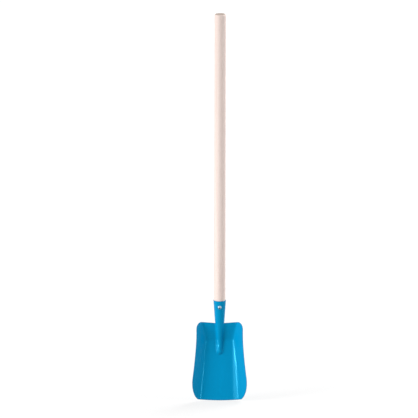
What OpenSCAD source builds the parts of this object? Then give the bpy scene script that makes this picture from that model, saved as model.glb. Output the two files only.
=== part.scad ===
// Child's sand shovel: a blade pressed from one steel sheet whose middle ridge runs up into a rolled
// socket, a beech handle tapered to sit in that socket, and one round-head wood screw that holds it.
// Lengths are in millimetres. +Z runs up the handle's axis and the hollow of the blade faces -Y.
// The origin is the middle of the handle's straight grip.

/* [Handle] */
// Diameter of the beech handle
handle_d = 22; // [19:0.5:26]
// Length of the straight grip above the socket
grip_l = 563; // [300:1:800]
// Rounding around the top end of the handle
handle_end_r = 2.5; // [1:0.25:6]
// Length of the tapered seat inside the socket
handle_seat_l = 39; // [30:1:41]

/* [Socket] */
// Thickness of the steel sheet
sheet_t = 1; // [0.6:0.1:1.6]
// Height of the socket from the top edge of the blade to its mouth
socket_l = 45.5; // [42:0.5:70]
// Outside diameter of the socket at the top edge of the blade
neck_d = 18; // [15:0.5:20]
// Gap between the rolled edges along the seam at the back
seam_gap = 1; // [0.4:0.1:3]
// Height of the arched opening behind the neck, below the seam
neck_open_l = 20; // [12:1:30]
// Radial clearance between the socket and the seat of the handle
socket_fit = 0.15; // [0.15:0.05:0.5]

/* [Blade outline] */
// Length of the blade along its floor, from the cutting edge to the top corners
blade_l = 151.5; // [135:0.5:190]
// Width across the flared sides, above the rounded lower corners
blade_w = 103.4; // [95:0.2:130]
// Width across the parallel sides near the top
top_w = 89; // [80:0.2:102]
// Width of the cutting edge
edge_w = 83.5; // [78:0.5:100]
// Bow of the cutting edge
edge_bow = 2; // [0:0.5:8]
// Height of the rounded lower corners over the cutting edge
toe_l = 42; // [24:1:60]
// Distance from the cutting edge to where the sides become parallel
side_l = 125; // [100:1:134]
// Width of the rounded top corners
corner_w = 9.5; // [4:0.5:12]
// Height of the rounded top corners
corner_h = 14.5; // [6:0.5:16]
// Fall of the top edge from its corners to the socket
shoulder_drop = 2.5; // [0:0.5:6]

/* [Blade pressing] */
// Length of the flat floor, from the cutting edge to the bend
floor_l = 118; // [95:1:122]
// Width of the floor at the cutting edge
floor_edge_w = 77.8; // [60:0.2:82]
// Width of the floor at the bend
floor_bend_w = 53; // [46:0.5:64]
// Angle between the floor and the axis of the handle
lift = 13; // [8:0.5:20]
// Angle between the back above the bend and the axis of the handle
back_lean = 3; // [0:0.5:6]
// Angle between the side walls and the floor
wall_flare = 43; // [25:1:55]
// Radius between the floor and the side walls, from the bend up
crease_r = 6; // [3:0.5:20]
// Radius between the floor and the side walls at the cutting edge, where they run into one another
crease_edge_r = 32; // [6:1:40]
// Radius of the bend between the floor and the back
bend_r = 15; // [8:1:60]
// Distance of the top edge before the axis of the handle, beside the socket
neck_front = 3.5; // [1:0.5:5]
// Distance from the cutting edge to the tip of the ridge
ridge_tip_l = 87; // [60:1:100]
// Length of the ridge's rounded nose
ridge_nose_l = 9; // [6:1:20]
// Radius along the foot of the ridge
ridge_foot_r = 3; // [2:0.5:5]
// Angle between the crest of the ridge below the bend and the axis of the handle
ridge_lean = 10; // [5:0.5:12]

/* [Screw] */
// Distance from the mouth of the socket down to the screw
screw_drop = 12; // [8:0.5:18]
// Diameter of the screw
screw_d = 4; // [3:0.5:5]
// Length of the screw under its head
screw_l = 18; // [12:1:20]
// Length of the screw's point
screw_tip_l = 5; // [3:0.5:7]
// Diameter of the round head
head_d = 7; // [6:0.5:9]
// Height of the round head
head_h = 2.5; // [2:0.1:3.4]
// Height of the upright rim below the dome of the head
head_rim_h = 0.5; // [0.2:0.1:0.8]
// Width of the screwdriver slot
slot_w = 1.2; // [0.6:0.1:1.4]
// Depth of the screwdriver slot
slot_depth = 1.3; // [0.8:0.1:1.6]
// Turn of the slot as the screw was left
slot_turn = 58; // [0:1:180]
// Radial clearance of the screw in the sheet
hole_fit = 0.25; // [0.1:0.05:0.5]
// Radial clearance of the screw in the wood
pilot_fit = 0.1; // [0.05:0.05:0.3]
// Clearance under the head of the screw
head_fit = 0.05; // [0.02:0.01:0.2]

/* [Hidden] */
$fn = 96;

// Run of a cut past the face that it leaves
overrun = 1;
// Step of the finite differences that give the sheet its normals
probe = 0.02;

// Counts of the sheet's grid: columns on each side of the middle, and rows
crest_cols = 10;
foot_cols = 5;
floor_cols = 3;
crease_cols = 5;
wall_cols = 2;
wrap_cols = 12;
toe_rows = 8;
floor_rows = 4;
nose_rows = 8;
ridge_rows = 10;
corner_rows = 6;
tube_rows = 4;

// Height of the ellipse at each lower corner, as a share of the corner's own height
toe_reach_share = 1.06;
// How the flare of the sides gathers towards the widest place
flare_power = 1.5;
// How far the ridge's columns have spread at the cutting edge
edge_spread = 2;
// Most that the floor's columns may take of the width outside the ridge
floor_share = 0.8;
// Most that the crease's columns may take of the width outside the floor
crease_share = 0.7;

mouth_z = -grip_l / 2;
neck_z = mouth_z - socket_l;
mouth_r = handle_d / 2 + socket_fit + sheet_t;
cone_rate = (mouth_r - neck_d / 2) / socket_l;
cone_angle = atan(cone_rate);

bend_angle = lift + back_lean;
back_l = (blade_l - shoulder_drop - floor_l) / cos(bend_angle);
bend_y = back_l * sin(back_lean) - neck_front;
bend_z = neck_z - back_l * cos(back_lean);
seam_angle = 180 - seam_gap / 2 / mouth_r * 180 / PI;

screw_z = mouth_z - screw_drop;
head_seat = cone_r(screw_z + head_d / 2) + head_fit;
dome_h = head_h - head_rim_h;
dome_r = (dome_h * dome_h + head_d * head_d / 4) / (2 * dome_h);

// Value between a and b at the share t
function mix(a, b, t) = a + (b - a) * t;
// Smooth rise: near 0 while a is negative and near a after it, turning over the width soft
function rise(a, soft) = (a + sqrt(a * a + soft * soft)) / 2;
// Width of that turn which gives the radius r where a face turns up by the slope m
function turn_width(r, m) = r * m * m / (2 * pow(1 + m * m / 4, 1.5));

bend_soft = turn_width(bend_r, tan(bend_angle));
crest_soft = turn_width(bend_r, tan(ridge_lean) + cone_rate);

// Outside radius of the socket's cone
function cone_r(z) = neck_d / 2 + (z - neck_z) * cone_rate;

// Place on the blade: u across, v up the floor from the cutting edge, w out of the floor
function blade_point(u, v, w) = [
    u,
    bend_y + (v - floor_l) * sin(lift) - w * cos(lift),
    bend_z + (v - floor_l) * cos(lift) + w * sin(lift)
];

// Height of the back over the plane of the floor
function back_w(v) = rise((v - floor_l) * tan(bend_angle), bend_soft);
// Half width of the floor, on a straight line that runs on past the bend
function floor_half(v) = mix(floor_edge_w, floor_bend_w, v / floor_l) / 2;
// Radius between the floor and the side walls, which opens from the bend to the cutting edge
function crease_at(v) = mix(crease_edge_r, crease_r, min(1, v / floor_l));
// Height of the pan over the plane of the floor: the higher of the back and the flared side wall
function pan_w(u, v) =
    let (back = back_w(v), wall = (abs(u) - floor_half(v)) * tan(wall_flare))
    back + rise(wall - back, turn_width(crease_at(v), tan(wall_flare)));

// Radius of the ridge's crest: that of the cone, and below the bend that of the cone at the bend
function ridge_r(z) = cone_r(max(z, bend_z));
// Line of the crest: the front of the cone down to the bend, and from there a line that leans forward
function crest_y(z) =
    let (cone = -cone_r(z), low = (z - bend_z) * tan(ridge_lean) - cone_r(bend_z))
    cone - rise(cone - low, crest_soft);
// Half section of the ridge with a crest of radius r that stands by h over the pan: distances from the
// middle at which the arc of the crest runs over into the arc of the foot, and at which that meets the pan
function ridge_ends(r, h) =
    let (reach = r + ridge_foot_r, foot_x = sqrt(max(0, reach * reach - pow(reach - h, 2))))
    [foot_x * r / reach, foot_x];
// Fall of that section from its crest
function ridge_fall(x, r, h) =
    let (ends = ridge_ends(r, h))
    x < ends[0] ? r - sqrt(r * r - x * x)
    : x < ends[1] ? h - ridge_foot_r + sqrt(ridge_foot_r * ridge_foot_r - pow(ends[1] - x, 2))
    : h;
// How far a place lies down the ridge's nose, from 0 at its broad end to 1 at its tip
function nose_share(v) = max(0, 1 - (v - ridge_tip_l) / ridge_nose_l);

// Front face of the sheet, and its unit normal towards the back; the section runs on round the nose
// on ellipses, by taking its distance from the middle together with the distance down the nose
function front(u, v) =
    let (
        pan = blade_point(u, v, pan_w(u, v)),
        r = ridge_r(pan.z),
        h = max(0, pan.y - crest_y(pan.z)),
        x = norm([u, ridge_ends(r, h)[1] * nose_share(v)])
    )
    nose_share(v) < 1 ? [u, pan.y - h + ridge_fall(x, r, h), pan.z] : pan;
function back_normal(u, v) =
    let (
        du = front(u + probe, v) - front(u - probe, v),
        dv = front(u, v + probe) - front(u, v - probe),
        n = cross(dv, du)
    )
    n / norm(n);

// Half width of the outline: elliptical lower corners, flared sides, rounded top corners
function toe_cut(v) = 1 - sqrt(1 - pow((toe_l - v) / (toe_l * toe_reach_share), 2));
toe_rate = flare_power * (blade_w - top_w) / 2 / (side_l - toe_l);
toe_w = ((blade_w - edge_w) / 2 + toe_rate * toe_l) / toe_cut(0);
function side_half(v) =
    v < toe_l
    ? blade_w / 2 + toe_rate * (toe_l - v) - toe_w * toe_cut(v)
    : mix(top_w, blade_w, pow(max(0, side_l - v) / (side_l - toe_l), flare_power)) / 2;
function corner_cut(v) =
    let (t = max(0, v - blade_l + corner_h) / corner_h)
    corner_w * (1 - sqrt(max(0, 1 - t * t)));
function outline_half(v) = side_half(v) - corner_cut(v);

// Distances of the ridge's columns from the middle: crest and foot, spreading below the tip
function ridge_cols(v) =
    let (
        ridge_v = max(v, ridge_tip_l),
        spread = mix(edge_spread, 1, min(1, v / ridge_tip_l)),
        pan = blade_point(0, ridge_v, back_w(ridge_v)),
        r = ridge_r(pan.z),
        ends = ridge_ends(r, max(sheet_t, pan.y - crest_y(pan.z))),
        turn = asin(ends[0] / r)
    )
    spread * [
        for (i = [0 : crest_cols]) r * sin(turn * i / crest_cols),
        for (i = [1 : foot_cols]) ends[1] - ridge_foot_r * sin(turn * (1 - i / foot_cols))
    ];

// Distances of all columns from the middle, in a row at v
function half_row(v) =
    let (
        ridge = ridge_cols(v),
        foot = ridge[crest_cols + foot_cols],
        side = outline_half(v),
        crease = floor_half(v) + back_w(v) / tan(wall_flare),
        crease_band = crease_at(v) * tan(wall_flare / 2),
        crease_in = min(crease - crease_band, mix(foot, side, floor_share)),
        crease_out = min(crease + crease_band, mix(crease_in, side, crease_share))
    )
    [
        each ridge,
        for (i = [1 : floor_cols]) mix(foot, crease_in, i / floor_cols),
        for (i = [1 : crease_cols]) mix(crease_in, crease_out, i / crease_cols),
        for (i = [1 : wall_cols]) mix(crease_out, side, i / wall_cols)
    ];

// Rows up the blade, from the cutting edge to the top edge
row_v = [
    for (i = [0 : toe_rows - 1]) toe_l * i / toe_rows,
    for (i = [0 : floor_rows - 1]) mix(toe_l, ridge_tip_l, i / floor_rows),
    for (i = [0 : nose_rows - 1]) ridge_tip_l + ridge_nose_l * i / nose_rows,
    for (i = [0 : ridge_rows - 1]) mix(ridge_tip_l + ridge_nose_l, blade_l - corner_h, i / ridge_rows),
    for (i = [0 : corner_rows]) blade_l - corner_h + corner_h * sin(90 * i / corner_rows)
];
top_row = len(row_v) - 1;
side_cols = crest_cols + foot_cols + floor_cols + crease_cols + wall_cols;
blade_cols = 2 * side_cols + 1;
tube_side = crest_cols + wrap_cols;

// Place on the sheet of each grid point: the rows bow with the cutting edge and fall to the socket
sheet_uv = [
    for (v = row_v)
        let (half = half_row(v), side = outline_half(v), s = v / blade_l)
        for (j = [-side_cols : side_cols])
            let (u = sign(j) * half[abs(j)], q = abs(u) / side)
            [u, v + (1 - s) * edge_bow * q * q - s * shoulder_drop * (1 - q)]
];

// The socket: upright columns about the cone, each given by its turn from the front and its lowest point.
// Those of the crest stand on the blade's top row, and the others on the arch that rises from there to the
// seam at the back
tube_foot = [
    for (c = [-tube_side : tube_side])
        let (
            inner = min(crest_cols, abs(c)),
            uv = sheet_uv[top_row * blade_cols + side_cols + sign(c) * inner],
            rim = front(uv[0], uv[1]),
            arch = 90 * (abs(c) - inner) / wrap_cols
        )
        [
            mix(atan2(rim.x, -rim.y), sign(c) * seam_angle, sin(arch)),
            rim.z + neck_open_l * (1 - cos(arch))
        ]
];
arch_cols = [for (c = [crest_cols + 1 : tube_side]) each [-c, c]];
tube_turn_z = [
    for (c = arch_cols) tube_foot[c + tube_side],
    for (k = [1 : tube_rows], foot = tube_foot) [foot[0], mix(foot[1], mouth_z, k / tube_rows)]
];
function tube_point(z, turn, inset) =
    let (r = cone_r(z) - inset * cos(cone_angle))
    [r * sin(turn), -r * cos(turn), z + inset * sin(cone_angle)];

front_points = [
    for (p = sheet_uv) front(p[0], p[1]),
    for (p = tube_turn_z) tube_point(p[1], p[0], 0)
];
back_points = [
    for (p = sheet_uv) front(p[0], p[1]) + sheet_t * back_normal(p[0], p[1]),
    for (p = tube_turn_z) tube_point(p[1], p[0], sheet_t)
];
back_start = len(front_points);

// Number of a grid point; the socket's lowest row is the middle of the blade's top row and the arch
function blade_at(i, j) = i * blade_cols + j;
function arch_at(c) = len(sheet_uv) + 2 * (abs(c) - crest_cols - 1) + (c > 0 ? 1 : 0);
function tube_at(k, c) =
    k > 0 ? len(sheet_uv) + len(arch_cols) + (k - 1) * len(tube_foot) + tube_side + c
    : abs(c) > crest_cols ? arch_at(c)
    : blade_at(top_row, side_cols + c);

cells = [
    for (i = [0 : top_row - 1], j = [0 : blade_cols - 2])
        [blade_at(i, j), blade_at(i, j + 1), blade_at(i + 1, j + 1), blade_at(i + 1, j)],
    for (k = [0 : tube_rows - 1], c = [-tube_side : tube_side - 1])
        [tube_at(k, c), tube_at(k, c + 1), tube_at(k + 1, c + 1), tube_at(k + 1, c)]
];
// The sheet's edge all round: cutting edge, right side, top edge, socket, top edge, left side
edge_loop = [
    for (j = [0 : blade_cols - 1]) blade_at(0, j),
    for (i = [1 : top_row]) blade_at(i, blade_cols - 1),
    for (j = [blade_cols - 2 : -1 : side_cols + crest_cols]) blade_at(top_row, j),
    for (c = [crest_cols + 1 : tube_side]) tube_at(0, c),
    for (k = [1 : tube_rows]) tube_at(k, tube_side),
    for (c = [tube_side - 1 : -1 : -tube_side]) tube_at(tube_rows, c),
    for (k = [tube_rows - 1 : -1 : 0]) tube_at(k, -tube_side),
    for (c = [1 - tube_side : -crest_cols]) tube_at(0, c),
    for (j = [side_cols - crest_cols - 1 : -1 : 0]) blade_at(top_row, j),
    for (i = [top_row - 1 : -1 : 1]) blade_at(i, 0)
];
sheet_faces = [
    for (q = cells) each [[q[0], q[3], q[2]], [q[0], q[2], q[1]]],
    for (q = cells) each [for (f = [[q[0], q[2], q[3]], [q[0], q[1], q[2]]]) [for (n = f) n + back_start]],
    for (i = [0 : len(edge_loop) - 1])
        let (a = edge_loop[i], b = edge_loop[(i + 1) % len(edge_loop)])
        each [[a, b, b + back_start], [a, b + back_start, a + back_start]]
];

// Half section of the screw's shank and point, from inside its head, grown by a clearance for the hole
// that it fills
module shank_section(gap) {
    shank_r = screw_d / 2 + gap;
    straight_l = screw_l - screw_tip_l;
    tip_l = screw_tip_l * shank_r / (screw_d / 2);
    polygon([
        [0, head_rim_h],
        [shank_r, head_rim_h],
        [shank_r, -straight_l],
        [0, -straight_l - tip_l]
    ]);
}

// Places what is drawn along +Z at the screw, square to the front of the socket
module at_screw() {
    translate([0, -head_seat, screw_z])
        rotate([90, 0, 0])
            children();
}

module blade() {
    color("deepskyblue")
        difference() {
            polyhedron(points = concat(front_points, back_points), faces = sheet_faces);
            at_screw()
                translate([0, 0, -head_seat])
                    cylinder(h = head_seat + overrun, r = screw_d / 2 + hole_fit);
        }
}

module handle() {
    seat_z = mouth_z - handle_seat_l;
    end_z = grip_l / 2;
    end_ring_r = handle_d / 2 - handle_end_r;
    color("burlywood")
        difference() {
            rotate_extrude() {
                polygon([
                    [0, seat_z],
                    [handle_d / 2 - handle_seat_l * cone_rate, seat_z],
                    [handle_d / 2, mouth_z],
                    [handle_d / 2, end_z],
                    [end_ring_r, end_z],
                    [end_ring_r, end_z + handle_end_r],
                    [0, end_z + handle_end_r]
                ]);
                translate([end_ring_r, end_z])
                    circle(r = handle_end_r);
            }
            at_screw()
                rotate_extrude()
                    shank_section(pilot_fit);
        }
}

module screw() {
    color("gainsboro")
        at_screw()
            difference() {
                union() {
                    rotate_extrude()
                        shank_section(0);
                    rotate_extrude()
                        intersection() {
                            translate([0, head_h - dome_r])
                                circle(r = dome_r);
                            square([head_d / 2, head_h]);
                        }
                }
                rotate([0, 0, slot_turn])
                    translate([-head_d / 2 - overrun, -slot_w / 2, head_h - slot_depth])
                        cube([head_d + 2 * overrun, slot_w, slot_depth + overrun]);
            }
}

blade();
handle();
screw();
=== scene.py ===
import math

import bmesh
import bpy
import numpy as np
from mathutils import Matrix, Vector


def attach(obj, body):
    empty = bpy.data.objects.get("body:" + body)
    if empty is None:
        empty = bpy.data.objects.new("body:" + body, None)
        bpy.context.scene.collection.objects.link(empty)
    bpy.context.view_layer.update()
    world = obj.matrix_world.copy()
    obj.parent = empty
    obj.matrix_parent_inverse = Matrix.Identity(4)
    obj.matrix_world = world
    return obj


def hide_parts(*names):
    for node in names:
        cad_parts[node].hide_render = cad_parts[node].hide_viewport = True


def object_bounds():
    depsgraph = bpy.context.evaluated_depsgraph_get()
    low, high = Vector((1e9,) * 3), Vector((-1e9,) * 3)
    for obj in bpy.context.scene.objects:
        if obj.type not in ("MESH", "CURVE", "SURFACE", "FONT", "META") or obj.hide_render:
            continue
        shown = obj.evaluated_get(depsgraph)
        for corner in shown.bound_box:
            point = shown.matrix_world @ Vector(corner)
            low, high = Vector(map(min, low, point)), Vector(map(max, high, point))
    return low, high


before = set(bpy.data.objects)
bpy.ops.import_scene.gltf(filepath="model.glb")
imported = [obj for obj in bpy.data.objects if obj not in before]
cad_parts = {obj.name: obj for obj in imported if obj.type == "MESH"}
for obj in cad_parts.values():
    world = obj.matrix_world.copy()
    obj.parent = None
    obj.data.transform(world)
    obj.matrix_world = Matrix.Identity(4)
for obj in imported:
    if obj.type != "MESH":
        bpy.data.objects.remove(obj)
cad_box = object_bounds()

# Blade
# One pressing of 1 mm steel sheet: a flat floor with flared side walls and, up its middle, a hollow ridge
# that runs on as a tongue rolled into a conical socket, its two edges meeting in a seam at the back.
# The pressing is coated in glossy blue enamel, which flows round the cut edges.
MM = 0.001
weld_d = 0.002 * MM

grip_l = 563 * MM
handle_d = 22 * MM
sheet_t = 1 * MM
socket_fit = 0.15 * MM
socket_l = 45.5 * MM
neck_d = 18 * MM
neck_open_l = 20 * MM
seam_gap = 1 * MM
mouth_z = -grip_l / 2
neck_z = mouth_z - socket_l
mouth_r = handle_d / 2 + socket_fit + sheet_t
cone_rate = (mouth_r - neck_d / 2) / socket_l
cone_angle = math.atan(cone_rate)
seam_turn = math.pi - seam_gap / 2 / mouth_r

blade_l = 151.5 * MM
blade_w = 103.4 * MM
top_w = 89 * MM
edge_w = 83.5 * MM
edge_bow = 2 * MM
toe_l = 42 * MM
toe_reach_l = 1.06 * toe_l
side_l = 125 * MM
flare_power = 1.5
corner_w = 9.5 * MM
corner_h = 14.5 * MM
shoulder_drop = 2.5 * MM

floor_l = 118 * MM
floor_edge_w = 77.8 * MM
floor_bend_w = 53 * MM
neck_front = 3.5 * MM
crease_r = 6 * MM
crease_edge_r = 32 * MM
bend_r = 15 * MM
lift = math.radians(13)
back_lean = math.radians(3)
wall_flare = math.radians(43)
bend_angle = lift + back_lean
back_l = (blade_l - shoulder_drop - floor_l) / math.cos(bend_angle)
bend_y = back_l * math.sin(back_lean) - neck_front
bend_z = neck_z - back_l * math.cos(back_lean)

ridge_tip_l = 87 * MM
ridge_nose_l = 9 * MM
ridge_foot_r = 3 * MM
ridge_lean = math.radians(10)
ridge_spread = 2

screw_drop = 12 * MM
screw_z = mouth_z - screw_drop
screw_hole_r = 2.25 * MM


def mix(a, b, share):
    """The value between a and b at a share of the way."""
    return a + (b - a) * share


def rise(height, soft):
    """Soft ramp: half the sum of the height and the root of its square plus soft squared, so that it stays
    near 0 below zero, near the height above it, and turns over the width soft."""
    return (height + np.sqrt(height ** 2 + soft ** 2)) / 2


def turn_soft(radius, slope):
    """The soft width with which a ramp up a slope turns by the radius at its sharpest."""
    return radius * slope ** 2 / (2 * (1 + slope ** 2 / 4) ** 1.5)


def cone_r(z):
    """Outside radius of the socket's cone at a height, which the ridge follows on down the blade."""
    return neck_d / 2 + (z - neck_z) * cone_rate


def pan(u, v):
    """Depth and height of the pan at u across and v up the floor from the cutting edge. Over the plane of
    the floor it rises to the higher of the leaning back and the flared side wall, with soft turns between
    them; the turn between floor and wall opens towards the cutting edge."""
    back = rise((v - floor_l) * math.tan(bend_angle), turn_soft(bend_r, math.tan(bend_angle)))
    wall = (np.abs(u) - mix(floor_edge_w, floor_bend_w, v / floor_l) / 2) * math.tan(wall_flare)
    crease = mix(crease_edge_r, crease_r, np.minimum(1, v / floor_l))
    w = back + rise(wall - back, turn_soft(crease, math.tan(wall_flare)))
    y = bend_y + (v - floor_l) * math.sin(lift) - w * math.cos(lift)
    z = bend_z + (v - floor_l) * math.cos(lift) + w * math.sin(lift)
    return y, z


def fold_half(v):
    """Half the distance between the folds at the feet of the two side walls, at a height: that of the edges
    of the floor, and above the bend as far out again as the wall takes to rise to the back."""
    back = np.maximum(v - floor_l, 0) * math.tan(bend_angle)
    return mix(floor_edge_w, floor_bend_w, v / floor_l) / 2 + back / math.tan(wall_flare)


def ridge_size(y, z):
    """Radius of the ridge's crest, and its height over the pan. The crest follows the front of the cone
    down to the bend; from there it keeps its radius and leans forward, with a soft turn."""
    cone = -cone_r(z)
    low = (z - bend_z) * math.tan(ridge_lean) - cone_r(bend_z)
    crest = cone - rise(cone - low, turn_soft(bend_r, math.tan(ridge_lean) + cone_rate))
    return cone_r(np.maximum(z, bend_z)), np.maximum(y - crest, 0)


def ridge_ends(r, h):
    """Distances from the middle at which the arc of a crest of radius r and height h runs over into the arc
    of the foot, and at which that meets the pan: the two arcs touch where the line of their centres cuts
    them."""
    reach = r + ridge_foot_r
    foot_end = np.sqrt(np.maximum(reach ** 2 - (reach - h) ** 2, 0))
    return foot_end * r / reach, foot_end


def blade_front(u, v):
    """Front face of the blade: the pan with the ridge before it, whose section is the arc of its crest and
    an arc at each foot. On the nose the distance from the middle is taken together with the distance down
    the nose, so that the section runs on round ellipses."""
    y, z = pan(u, v)
    r, h = ridge_size(y, z)
    crest_end, foot_end = ridge_ends(r, h)
    nose = np.maximum(0, 1 - (v - ridge_tip_l) / ridge_nose_l)
    x = np.hypot(u, foot_end * nose)
    crest = np.sqrt(np.maximum(r ** 2 - x ** 2, 0)) - r + h
    foot = ridge_foot_r - np.sqrt(np.maximum(ridge_foot_r ** 2 - (foot_end - x) ** 2, 0))
    stand = np.select([nose >= 1, x < crest_end, x < foot_end], [0, crest, foot], 0)
    return np.stack(np.broadcast_arrays(u, y - stand, z), axis=-1)


def blade_normal(u, v, step=0.02 * MM):
    """Unit normal of that face towards the back: the cross product of its differences up and across."""
    up = blade_front(u, v + step) - blade_front(u, v - step)
    across = blade_front(u + step, v) - blade_front(u - step, v)
    normal = np.cross(up, across)
    return normal / np.linalg.norm(normal, axis=-1, keepdims=True)


def toe_cut(v):
    """How far an ellipse of unit width has fallen in, at a height below the widest place."""
    return 1 - np.sqrt(1 - (np.clip(toe_l - v, 0, toe_l) / toe_reach_l) ** 2)


def outline_half(v):
    """Half width of the blade: elliptical lower corners up to the widest place, then a flare that falls off
    by a power of the height to parallel sides, with elliptical top corners taken off."""
    rate = flare_power * (blade_w - top_w) / 2 / (side_l - toe_l)
    toe_w = ((blade_w - edge_w) / 2 + rate * toe_l) / toe_cut(0)
    toe = blade_w / 2 + rate * (toe_l - v) - toe_w * toe_cut(v)
    flare = mix(top_w, blade_w, (np.clip(side_l - v, 0, None) / (side_l - toe_l)) ** flare_power) / 2
    corner = np.clip(v - blade_l + corner_h, 0, corner_h) / corner_h
    return np.where(v < toe_l, toe, flare) - corner_w * (1 - np.sqrt(1 - corner ** 2))


def cone_point(turn, z, inset):
    """A place on the socket, turned from the front about its axis, by an inset under its outside."""
    r = cone_r(z) - inset * math.cos(cone_angle)
    return np.stack([r * np.sin(turn), -r * np.cos(turn), z + inset * math.sin(cone_angle)], axis=-1)


def half_thickness(distance):
    """Half the sheet's thickness at a distance from its edge: a half circle closes it."""
    return sheet_t / 2 * np.sqrt(1 - np.clip(1 - distance / (sheet_t / 2), 0, 1) ** 2)


def grid_quads(numbers):
    """Quads between neighbours in a grid of point numbers, facing the front where rows run up and columns
    to the right."""
    corners = [numbers[:-1, :-1], numbers[:-1, 1:], numbers[1:, 1:], numbers[1:, :-1]]
    return np.stack(corners, axis=-1).reshape(-1, 4)


def add_piece(name, points, quads, material, **attributes):
    """A smooth mesh object at the origin. Points that coincide become one, and unused ones go, so that
    seams and poles close; each attribute holds one number for each point."""
    mesh = bpy.data.meshes.new(name)
    mesh.from_pydata(points.tolist(), [], quads.tolist())
    for key, values in attributes.items():
        mesh.attributes.new(key, "FLOAT", "POINT").data.foreach_set("value", values.astype(np.float32))
    shell = bmesh.new()
    shell.from_mesh(mesh)
    bmesh.ops.remove_doubles(shell, verts=shell.verts, dist=weld_d)
    bmesh.ops.delete(shell, geom=[v for v in shell.verts if not v.link_faces], context="VERTS")
    shell.to_mesh(mesh)
    shell.free()
    mesh.polygons.foreach_set("use_smooth", np.ones(len(mesh.polygons), dtype=bool))
    mesh.materials.append(material)
    piece = bpy.data.objects.new(name, mesh)
    bpy.context.scene.collection.objects.link(piece)
    return piece


def linear(code):
    """Linear colour of an sRGB hex code."""
    srgb = np.array([int(code[i:i + 2], 16) for i in (1, 3, 5)]) / 255
    rgb = np.where(srgb <= 0.04045, srgb / 12.92, ((srgb + 0.055) / 1.055) ** 2.4)
    return (*rgb.tolist(), 1.0)


def add(tree, kind, inputs=(), **settings):
    """Adds a node with its settings, and sets or links its inputs, given as a dictionary of sockets."""
    node = tree.nodes.new(kind)
    for key, value in settings.items():
        setattr(node, key, value)
    for key, value in dict(inputs).items():
        if isinstance(value, bpy.types.NodeSocket):
            tree.links.new(value, node.inputs[key])
        else:
            node.inputs[key].default_value = value
    return node


def new_material(name):
    """A material, with its node tree, its shader and the outputs of its texture coordinates."""
    material = bpy.data.materials.new(name)
    material.use_nodes = True
    tree = material.node_tree
    return material, tree, tree.nodes["Principled BSDF"], add(tree, "ShaderNodeTexCoord").outputs


# Stoved enamel on steel: a deep clean blue under a hard gloss, with a faint orange-peel ripple from the
# spray, and a darker line painted on the cut edges as the shade that falls along them.
enamel_blue = linear("#008CBE")
enamel_blue_deep = linear("#0087B8")
enamel_edge_shade = linear("#04567E")
edge_shade_share = 0.6
enamel_gloss = linear("#58DCFF")
peel_size = 2.5 * MM
peel_depth = 0.1 * MM
cloud_size = 60 * MM
enamel, tree, shader, coords = new_material("enamelled steel")
place = coords["Object"]
cloud = add(tree, "ShaderNodeTexNoise", {"Vector": place, "Scale": 1 / cloud_size, "Detail": 3.0})
coat = add(
    tree, "ShaderNodeMix",
    {0: cloud.outputs["Fac"], 6: enamel_blue_deep, 7: enamel_blue},
    data_type="RGBA",
)
# Painted shade along the cut edges: near them the colour is mixed towards a darker blue.
edge = add(tree, "ShaderNodeAttribute", attribute_name="edge")
edge_shade = add(tree, "ShaderNodeMath", {0: edge.outputs["Fac"], 1: edge_shade_share}, operation="MULTIPLY")
colour = add(
    tree, "ShaderNodeMix",
    {0: edge_shade.outputs[0], 6: coat.outputs[2], 7: enamel_edge_shade},
    data_type="RGBA",
)
peel = add(tree, "ShaderNodeTexNoise", {"Vector": place, "Scale": 1 / peel_size, "Detail": 2.0})
ripple = add(
    tree, "ShaderNodeBump",
    {"Height": peel.outputs["Fac"], "Strength": 0.08, "Distance": peel_depth},
)
tree.links.new(colour.outputs[2], shader.inputs["Base Color"])
tree.links.new(ripple.outputs["Normal"], shader.inputs["Normal"])
shader.inputs["Roughness"].default_value = 0.12
shader.inputs["Specular IOR Level"].default_value = 0.4
shader.inputs["Specular Tint"].default_value = enamel_gloss

# The blade's grid: columns gather at the ridge's edges, the folds and the sides, and rows at the ends and
# the nose
edge_zone = sheet_t / 2
crest_cols = 36
floor_cols = 44
wall_cols = 34
side_cols = floor_cols + wall_cols
round_rows = 6
floor_rows = 56
nose_rows = 40
back_rows = 44
crest_share = np.sin(np.linspace(-math.pi / 2, math.pi / 2, 2 * crest_cols + 1))
floor_share = (1 - np.cos(np.linspace(0, math.pi, floor_cols + 1)[1:])) / 2
wall_share = (1 - np.cos(np.linspace(0, math.pi, wall_cols + 1)[1:])) / 2
edge_rows = edge_zone * (1 - np.cos(np.linspace(0, math.pi / 2, round_rows)))
nose_from = ridge_tip_l - ridge_foot_r
nose_to = ridge_tip_l + ridge_nose_l + ridge_foot_r
rows = np.concatenate([
    edge_rows,
    np.linspace(edge_zone, nose_from, floor_rows)[1:],
    np.linspace(nose_from, nose_to, nose_rows)[1:],
    np.linspace(nose_to, blade_l - edge_zone, back_rows)[1:],
    blade_l - edge_rows[-2::-1],
])[:, None]
crest_r, crest_h = ridge_size(*pan(0, np.maximum(rows, ridge_tip_l)))
crest_turn = np.arcsin(ridge_ends(crest_r, crest_h)[0] / crest_r)
spread = mix(ridge_spread, 1, np.minimum(1, rows / ridge_tip_l))
crest_u = spread * crest_r * np.sin(crest_turn * crest_share)
side_half = outline_half(rows)
fold_u = fold_half(rows)
side_u = np.concatenate(
    [mix(crest_u[:, -1:], fold_u, floor_share), mix(fold_u, side_half, wall_share)], axis=1
)
u = np.concatenate([-side_u[:, ::-1], crest_u, side_u], axis=1)
q = np.abs(u) / side_half
up_share = rows / blade_l
v = rows + (1 - up_share) * edge_bow * q ** 2 - up_share * shoulder_drop * (1 - q)
blade_face = blade_front(u, v)
blade_in = blade_normal(u, v)

# Distance of each point from the sheet's edge; under the socket the top edge is only near at its ends
to_top = blade_l - rows
crest_in = np.zeros_like(u)
crest_in[:, side_cols:-side_cols] = (1 - np.abs(crest_share)) * crest_turn * crest_r
blade_edge = np.minimum(np.minimum(rows, side_half - np.abs(u)), np.hypot(to_top, crest_in))

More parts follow.
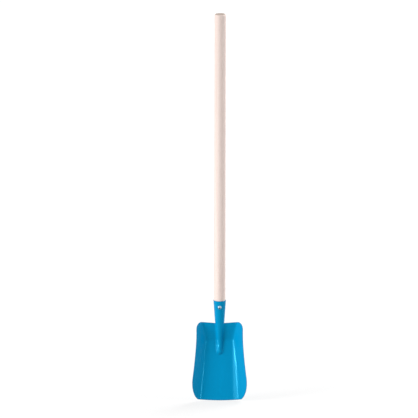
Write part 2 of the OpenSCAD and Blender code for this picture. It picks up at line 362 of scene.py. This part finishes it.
# The socket: upright columns about the cone. Those of the crest stand on the blade's top row, and the
# others on an arch that rises from its ends to the seam at the back
low_rows = 30
hole_rows = 12
mouth_rows = 8
hole_cols = 12
hole_reach = 5.5 * MM
wrap_cols = 40
rim = blade_face[-1, side_cols:-side_cols]
rim_turn = np.arctan2(rim[:, 0], -rim[:, 1])
arch = np.linspace(0, math.pi / 2, wrap_cols + 1)[1:]
wrap_turn = mix(rim_turn[-1], seam_turn, np.sin(arch))
wrap_z = rim[-1, 2] + neck_open_l * (1 - np.cos(arch))
foot_turn = np.concatenate([-wrap_turn[::-1], rim_turn, wrap_turn])
foot_z = np.concatenate([wrap_z[::-1], rim[:, 2], wrap_z])
screw_share = 1 - screw_drop / socket_l
hole_share = hole_reach / socket_l
tube_share = np.concatenate([
    edge_rows / socket_l,
    np.linspace(edge_zone / socket_l, screw_share - hole_share, low_rows)[1:],
    np.linspace(screw_share - hole_share, screw_share + hole_share, 2 * hole_rows + 1)[1:],
    np.linspace(screw_share + hole_share, 1 - edge_zone / socket_l, mouth_rows)[1:],
    1 - edge_rows[-2::-1] / socket_l,
])[:, None]
z = mix(foot_z, mouth_z, tube_share)
turn = foot_turn + 0 * z

# Distance of the socket's points from its edges: the arch, the seam and the mouth
arch_slope = neck_open_l / (seam_turn - rim_turn[-1]) / cone_r(z) * np.tan(
    np.concatenate([arch[::-1], 0 * rim_turn, arch])
)
beside = np.maximum(rim_turn[-1] - np.abs(turn), 0) * cone_r(z)
to_foot = np.hypot((z - foot_z) / np.sqrt(1 + arch_slope ** 2), beside)
to_seam = (seam_turn - np.abs(turn)) * cone_r(z)
tube_edge = np.minimum(np.minimum(to_foot, to_seam), mouth_z - z)

# The screw's hole: a square block of the grid is opened to a circle, which fades into the square outside
screw_row = np.argmin(np.abs(tube_share[:, 0] - screw_share))
hole_i = (np.arange(len(tube_share))[:, None] - screw_row) / hole_rows
hole_j = np.arange(-crest_cols - wrap_cols, crest_cols + wrap_cols + 1)[None, :] / hole_cols
ring = np.maximum(np.abs(hole_i), np.abs(hole_j))
ring_in = 1 / 3
fade = np.clip((ring - ring_in) / (1 - ring_in), 0, 1)
radial = mix(screw_hole_r, hole_reach, fade) / np.maximum(np.hypot(hole_i, hole_j), ring_in)
turn = mix(radial * hole_j / cone_r(z), turn, fade)
z = mix(screw_z + radial * hole_i, z, fade)
hole_edge = np.hypot(turn * cone_r(z), z - screw_z) - screw_hole_r
tube_edge = np.minimum(tube_edge, np.where(ring < 1, np.maximum(hole_edge, 0), np.inf))

# Both faces of the sheet, half its thickness either way from its middle
blade_half = half_thickness(blade_edge)[..., None]
blade_sides = [blade_face + (sheet_t / 2 - side * blade_half) * blade_in for side in (1, -1)]
tube_sides = [cone_point(turn, z, sheet_t / 2 - side * half_thickness(tube_edge)) for side in (1, -1)]
blade_no = np.arange(u.size).reshape(u.shape)
tube_no = u.size + np.arange(turn.size).reshape(turn.shape)
tube_no[0, wrap_cols:-wrap_cols] = blade_no[-1, side_cols:-side_cols]
block = np.maximum(np.abs(hole_i[:-1] + hole_i[1:]), np.abs(hole_j[:, :-1] + hole_j[:, 1:])) / 2
front_quads = np.concatenate([grid_quads(blade_no), grid_quads(tube_no)[block.ravel() > ring_in]])
back_quads = front_quads[:, ::-1] + u.size + turn.size
sheet_points = np.concatenate(
    [part.reshape(-1, 3) for side in zip(blade_sides, tube_sides) for part in side]
)
# Painted shade: within this distance of a cut edge the enamel is mixed towards the darker blue.
edge_shade_zone = 0.8 * MM
edge_shade_weight = np.clip(1 - np.concatenate([blade_edge.ravel(), tube_edge.ravel()]) / edge_shade_zone, 0, 1)
blade = add_piece(
    "blade_sheet",
    sheet_points,
    np.concatenate([front_quads, back_quads]),
    enamel,
    edge=np.tile(edge_shade_weight, 2),
)
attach(blade, "root")
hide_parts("blade")

# Handle
# A straight beech stick turned to one diameter, with its top edge rounded over and its lower end tapered
# to wedge in the socket. It is sanded and left with a thin clear coat.
handle_end_r = 2.5 * MM
handle_seat_l = 39 * MM
seat_edge = 0.6 * MM
end_z = grip_l / 2
seat_z = mouth_z - handle_seat_l
seat_r = handle_d / 2 - handle_seat_l * cone_rate

# Beech: pale and pinkish, with soft lengthwise bands and the short dark flecks of its rays. The clear coat
# leaves it satin. The sawn ends soak it up, so they are darker and dull, with faint growth rings and pores,
# which are drawn coarser than real ones so that they show. Their colour is also darkened further as painted
# shade, since the top end faces away from the lamps.
beech_pale = linear("#E7D9D2")
beech_warm = linear("#D7C2BA")
beech_fleck = linear("#C49A80")
beech_end_and_shade = linear("#AA9C91")
beech_end_ring_and_shade = linear("#8D7C72")
band_w = 5 * MM
band_l = 160 * MM
band_depth = 0.1 * MM
fleck_w = 0.7 * MM
fleck_l = 5 * MM
ring_w = 1.6 * MM
wave_rings = 3.2  # The Wave texture draws about this many rings in a unit at scale 1
pith_off = 34 * MM
pore_size = 0.5 * MM
beech, tree, shader, coords = new_material("beech")
place = coords["Object"]
band_at = add(
    tree, "ShaderNodeMapping",
    {"Vector": place, "Scale": (1 / band_w, 1 / band_w, 1 / band_l)},
)
band = add(
    tree, "ShaderNodeTexNoise",
    {"Vector": band_at.outputs[0], "Scale": 1.0, "Detail": 5.0, "Roughness": 0.6},
)
wood = add(
    tree, "ShaderNodeMix",
    {0: band.outputs["Fac"], 6: beech_pale, 7: beech_warm},
    data_type="RGBA",
)
fleck_at = add(
    tree, "ShaderNodeMapping",
    {"Vector": place, "Scale": (1 / fleck_w, 1 / fleck_w, 1 / fleck_l)},
)
fleck = add(
    tree, "ShaderNodeTexVoronoi",
    {"Vector": fleck_at.outputs[0], "Scale": 1.0, "Randomness": 1.0},
)
fleck_mark = add(
    tree, "ShaderNodeMapRange",
    {"Value": fleck.outputs["Distance"], "From Min": 0.28, "From Max": 0.12, "To Min": 0.0, "To Max": 0.4},
)
grain = add(
    tree, "ShaderNodeMix",
    {0: fleck_mark.outputs[0], 6: wood.outputs[2], 7: beech_fleck},
    data_type="RGBA",
)
ring_at = add(
    tree, "ShaderNodeMapping",
    {"Vector": place, "Location": (pith_off / ring_w, 0.0, 0.0), "Scale": (1 / ring_w, 1 / ring_w, 0.0)},
)
rings = add(
    tree, "ShaderNodeTexWave",
    {
        "Vector": ring_at.outputs[0], "Scale": 1 / wave_rings,
        "Distortion": 1.5, "Detail": 2.0, "Detail Scale": 0.4,
    },
    wave_type="RINGS", rings_direction="SPHERICAL", wave_profile="SAW",
)
pores = add(tree, "ShaderNodeTexVoronoi", {"Vector": place, "Scale": 1 / pore_size})
pore_mark = add(
    tree, "ShaderNodeMapRange",
    {"Value": pores.outputs["Distance"], "From Min": 0.35, "From Max": 0.15, "To Min": 0.0, "To Max": 0.5},
)
ring_mark = add(
    tree, "ShaderNodeMath",
    {0: rings.outputs["Fac"], 1: pore_mark.outputs[0]},
    operation="MAXIMUM",
)
end_grain_and_shade = add(
    tree, "ShaderNodeMix",
    {0: ring_mark.outputs[0], 6: beech_end_and_shade, 7: beech_end_ring_and_shade},
    data_type="RGBA",
)
facing = add(tree, "ShaderNodeSeparateXYZ", {0: coords["Normal"]})
upright = add(tree, "ShaderNodeMath", {0: facing.outputs["Z"]}, operation="ABSOLUTE")
sawn = add(tree, "ShaderNodeMapRange", {"Value": upright.outputs[0], "From Min": 0.75, "From Max": 0.98})
# Faces that look up or down take the end colour, which holds both the end grain and painted shade.
colour = add(
    tree, "ShaderNodeMix",
    {0: sawn.outputs[0], 6: grain.outputs[2], 7: end_grain_and_shade.outputs[2]},
    data_type="RGBA",
)
roughness = add(tree, "ShaderNodeMapRange", {"Value": sawn.outputs[0], "To Min": 0.5, "To Max": 0.9})
relief = add(
    tree, "ShaderNodeBump",
    {"Height": band.outputs["Fac"], "Strength": 0.15, "Distance": band_depth},
)
tree.links.new(colour.outputs[2], shader.inputs["Base Color"])
tree.links.new(relief.outputs["Normal"], shader.inputs["Normal"])
tree.links.new(roughness.outputs[0], shader.inputs["Roughness"])


def turned(radius, height, sides):
    """A turned solid: each point of the profile, given by its radius and height, carried round the axis."""
    around = np.linspace(0, 2 * math.pi, sides + 1)
    x = radius[:, None] * np.sin(around)
    y = -radius[:, None] * np.cos(around)
    points = np.stack(np.broadcast_arrays(x, y, height[:, None]), axis=-1)
    return points.reshape(-1, 3), grid_quads(np.arange(x.size).reshape(x.shape))


handle_sides = 96
foot_rings = 6
seat_rings = 20
grip_rings = 140
round_rings = 9
top_rings = 7
quarter = np.linspace(0, math.pi / 2, round_rings)
end_ring_r = handle_d / 2 - handle_end_r
radius = np.concatenate([
    np.linspace(0, seat_r - seat_edge, foot_rings),
    np.linspace(seat_r, handle_d / 2, seat_rings),
    np.full(grip_rings, handle_d / 2),
    end_ring_r + handle_end_r * np.cos(quarter),
    np.linspace(end_ring_r, 0, top_rings + 1)[1:],
])
height = np.concatenate([
    np.full(foot_rings, seat_z),
    np.linspace(seat_z + seat_edge, mouth_z, seat_rings),
    np.linspace(mouth_z, end_z, grip_rings + 2)[1:-1],
    end_z + handle_end_r * np.sin(quarter),
    np.full(top_rings, end_z + handle_end_r),
])
points, quads = turned(radius, height, handle_sides)
handle = add_piece("handle_stick", points, quads, beech)
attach(handle, "root")
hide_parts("handle")

# Screw
# A zinc-plated steel wood screw, 4 by 18 mm, with a round slotted head. It goes through the hole in the
# socket's front wall and bites into the seat of the handle, and its slot stands as the driver left it.
screw_d = 4 * MM
core_d = 2.8 * MM
screw_l = 18 * MM
plain_l = 4 * MM
point_l = 5 * MM
pitch = 1.7 * MM
thread_share = 0.3
head_d = 7 * MM
head_h = 2.5 * MM
head_rim_h = 0.5 * MM
head_fit = 0.05 * MM
slot_w = 1.2 * MM
slot_depth = 1.3 * MM
lip = 0.12 * MM
slot_shade_depth = 0.5 * MM
slot_turn = math.radians(58)
head_seat = cone_r(screw_z + head_d / 2) + head_fit
dome_h = head_h - head_rim_h
dome_r = (dome_h ** 2 + head_d ** 2 / 4) / (2 * dome_h)

# Zinc plating: a pale bluish metal with a satin shine and faint cloudy patches. Down in the slot it is
# painted dark, as the shade that falls into it.
zinc_pale = linear("#AFC3CE")
zinc_cloud = linear("#98ADB9")
zinc_slot_shade = linear("#15181B")
cloud_size = 1.2 * MM
zinc, tree, shader, coords = new_material("zinc-plated steel")
place = coords["Object"]
cloud = add(tree, "ShaderNodeTexNoise", {"Vector": place, "Scale": 1 / cloud_size, "Detail": 4.0})
plating = add(
    tree, "ShaderNodeMix",
    {0: cloud.outputs["Fac"], 6: zinc_pale, 7: zinc_cloud},
    data_type="RGBA",
)
# Painted shade in the slot: the deeper a point lies below the dome, the darker its colour.
slot_shade_at = add(tree, "ShaderNodeAttribute", attribute_name="sunk")
colour = add(
    tree, "ShaderNodeMix",
    {0: slot_shade_at.outputs["Fac"], 6: plating.outputs[2], 7: zinc_slot_shade},
    data_type="RGBA",
)
tree.links.new(colour.outputs[2], shader.inputs["Base Color"])
shader.inputs["Metallic"].default_value = 1.0
shader.inputs["Roughness"].default_value = 0.5

# The head's top: chords across the slot, each a row of points; the slot's walls are rows at one distance,
# and sunk gives how far each row has gone from the dome to the slot's floor
land_rows = 12
chord_cols = 25
shank_rings = 160
land_share = np.sin(np.linspace(0, math.pi / 2, land_rows))
land = mix(slot_w / 2 + lip, head_d / 2, land_share)
half_y = np.concatenate([
    [0, slot_w / 2 - 2 * lip, slot_w / 2 - lip / 2, slot_w / 2, slot_w / 2, slot_w / 2 + lip / 3],
    land,
])
half_sunk = np.concatenate([[1, 1, 0.98, 0.9, 0.1, 0.02], np.zeros(land_rows)])
y = np.concatenate([-half_y[:0:-1], half_y])
sunk = np.concatenate([half_sunk[:0:-1], half_sunk])[:, None]
chord = np.sqrt(np.maximum(head_d ** 2 / 4 - y ** 2, 0))
x = chord[:, None] * np.sin(np.linspace(-math.pi / 2, math.pi / 2, chord_cols))
dome = head_h - dome_r + np.sqrt(dome_r ** 2 - x ** 2 - y[:, None] ** 2)
top = mix(dome, np.minimum(dome, head_h - slot_depth), sunk)
head_points = np.stack(np.broadcast_arrays(x, y[:, None], top), axis=-1)

# The rest of the screw: rings under the head's edge and down the shank, whose thread is a ridge that climbs
# a pitch in each turn and runs out at the point
around = np.concatenate([np.arctan2(y, chord), np.arctan2(y, -chord)[::-1]])
around = np.append(around, around[0])
down = np.concatenate([np.zeros(1), np.linspace(0, screw_l, shank_rings)])[:, None]
taper = np.clip((screw_l - down) / point_l, 0, 1)
wave = np.abs((down / pitch + around / (2 * math.pi)) % 1 - 0.5)
thread = np.clip(1 - wave / thread_share, 0, 1) * np.clip((down - plain_l) / pitch, 0, 1)
core = mix(screw_d, core_d, np.clip((down - plain_l) / pitch, 0, 1)) / 2
shank_r = (core + (screw_d / 2 - core) * thread) * taper
ring_r = np.concatenate([np.full((2, around.size), head_d / 2), shank_r[1:]])
ring_z = np.concatenate([[head_rim_h, 0], -down[1:, 0]])[:, None]
shank_points = np.stack(
    np.broadcast_arrays(ring_r * np.cos(around), ring_r * np.sin(around), ring_z), axis=-1
)
head_no = np.arange(x.size).reshape(x.shape)
shank_no = x.size + np.arange(ring_r.size).reshape(ring_r.shape)
local = np.concatenate([head_points.reshape(-1, 3), shank_points.reshape(-1, 3)])
along = local[:, 0] * math.cos(slot_turn) - local[:, 1] * math.sin(slot_turn)
upward = local[:, 0] * math.sin(slot_turn) + local[:, 1] * math.cos(slot_turn)
screw_points = np.stack([along, -head_seat - local[:, 2], screw_z + upward], axis=-1)
screw = add_piece(
    "screw_zinc",
    screw_points,
    np.concatenate([grid_quads(head_no), grid_quads(shank_no)[:, ::-1]]),
    zinc,
    sunk=np.concatenate([np.clip((dome - top).ravel() / slot_shade_depth, 0, 1), np.zeros(ring_r.size)]),
)
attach(screw, "root")
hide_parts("screw")

# Camera
# It stands well back with a long lens, looks down a little on the front of the shovel and has it slightly
# right of the middle, leaning by a hair.
frame_px = 418
pixel_w = 1.93 * MM
frame_w = frame_px * pixel_w
look_down = math.radians(13)
roll = math.radians(0.1)
aim = Vector((-21 * MM, 0.0, -101 * MM))
camera = bpy.data.cameras.new("camera")
camera.lens = 1200
camera.sensor_width = 36
camera.clip_end = 100
distance = frame_w / 2 / (camera.sensor_width / 2 / camera.lens)
viewer = bpy.data.objects.new("camera", camera)
away = Vector((0.0, -math.cos(look_down), math.sin(look_down)))
turned_to = (-away).to_track_quat("-Z", "Y").to_matrix() @ Matrix.Rotation(roll, 3, "Z")
viewer.matrix_world = Matrix.Translation(aim + away * distance) @ turned_to.to_4x4()
bpy.context.scene.collection.objects.link(viewer)
bpy.context.scene.camera = viewer

# Floor
# A wide sheet of white paper under the cutting edge. To the camera it is white, with the shovel's soft
# shadow, and glows a little more far off, where less light falls on it. It is pale grey in the gloss and
# throws little light up.
floor_half = 6.0
floor_gap = 0.2 * MM
floor_z = cad_box[0][2] - floor_gap
floor_seen = linear("#6C6C6C")
floor_dim = linear("#909090")
near = 0.5
far_off = 3.0
glow_near = 0.78
glow_far = 0.92
glow_mirrored = 0.12


def ray_kinds(tree):
    """Two sockets of a tree: one is 1 for a ray from the camera, and the other is 1 for a ray that a gloss
    mirrors or a clear body lets through."""
    path = add(tree, "ShaderNodeLightPath").outputs
    mirrored = add(
        tree, "ShaderNodeMath",
        {0: path["Is Glossy Ray"], 1: path["Is Transmission Ray"]},
        operation="MAXIMUM",
    )
    return path["Is Camera Ray"], mirrored.outputs[0]


mesh = bpy.data.meshes.new("floor")
corners = [(-1, -1), (1, -1), (1, 1), (-1, 1)]
mesh.from_pydata([(a * floor_half, b * floor_half, floor_z) for a, b in corners], [], [(0, 1, 2, 3)])
paper, tree, shader, coords = new_material("white paper")
shader.inputs["Roughness"].default_value = 0.9
shader.inputs["Specular IOR Level"].default_value = 0.0
seen, mirrored = ray_kinds(tree)
mirror_glow = add(tree, "ShaderNodeMath", {0: mirrored, 1: glow_mirrored}, operation="MULTIPLY")
reach = add(tree, "ShaderNodeVectorMath", {0: coords["Object"]}, operation="LENGTH")
white = add(
    tree, "ShaderNodeMapRange",
    {
        "Value": reach.outputs["Value"], "From Min": near, "From Max": far_off,
        "To Min": glow_near, "To Max": glow_far,
    },
)
glow = add(
    tree, "ShaderNodeMath",
    {0: seen, 1: white.outputs[0], 2: mirror_glow.outputs[0]},
    operation="MULTIPLY_ADD",
)
colour = add(tree, "ShaderNodeMix", {0: seen, 6: floor_dim, 7: floor_seen}, data_type="RGBA")
tree.links.new(colour.outputs[2], shader.inputs["Base Color"])
shader.inputs["Emission Color"].default_value = (1.0, 1.0, 1.0, 1.0)
tree.links.new(glow.outputs[0], shader.inputs["Emission Strength"])
mesh.materials.append(paper)
floor = bpy.data.objects.new("floor", mesh)
bpy.context.scene.collection.objects.link(floor)

# Light
# A white room that is dim as a lamp and pale grey in the gloss. A large softbox stands on the left, a weak
# one on the right and one behind. A low front panel gives the floor of the blade its sheen, and narrow
# strips draw the bright lines along its folds and its ridge.
room_lamp = 0.275
room_mirrored = 0.6
room_seen = 1.0
room = bpy.data.worlds.new("room")
room.use_nodes = True
tree = room.node_tree
seen, mirrored = ray_kinds(tree)
lit = add(tree, "ShaderNodeMix", {0: mirrored, 2: room_lamp, 3: room_mirrored})
strength = add(tree, "ShaderNodeMix", {0: seen, 2: lit.outputs[0], 3: room_seen})
tree.links.new(strength.outputs[0], tree.nodes["Background"].inputs["Strength"])
tree.nodes["Background"].inputs["Color"].default_value = (1.0, 1.0, 1.0, 1.0)
bpy.context.scene.world = room

lit_at = Vector((0.0, 0.0, -350 * MM))


def add_softbox(name, azimuth, elevation, distance, width, height, watts):
    """A lamp turned towards the blade, at angles in degrees round from the front and up from level; its
    distance, width and height are in metres."""
    lamp = bpy.data.lights.new(name, "AREA")
    lamp.shape = "RECTANGLE"
    lamp.size = width
    lamp.size_y = height
    lamp.energy = watts
    box = bpy.data.objects.new(name, lamp)
    around = math.radians(azimuth)
    over = math.radians(elevation)
    toward = Vector((math.sin(around) * math.cos(over), -math.cos(around) * math.cos(over), math.sin(over)))
    box.location = lit_at + distance * toward
    box.rotation_euler = toward.to_track_quat("Z", "Y").to_euler()
    bpy.context.scene.collection.objects.link(box)


add_softbox("left softbox", -68, 25, 7.0, 2.4, 2.1, 430)
add_softbox("right softbox", 76, 20, 2.0, 0.6, 0.6, 19)
add_softbox("rear softbox", 140, 45, 4.0, 2.0, 2.0, 170)
add_softbox("front panel", -27, 10, 2.0, 0.85, 0.3, 4)
add_softbox("left strip", -41, 8.3, 2.0, 0.15, 0.19, 4.6)
add_softbox("ridge strip", -52, 1.4, 0.6, 0.06, 0.03, 0.54)
add_softbox("right strip", 41, 7, 2.0, 0.1, 0.3, 1.6)

bpy.context.scene.view_settings.view_transform = "Standard"
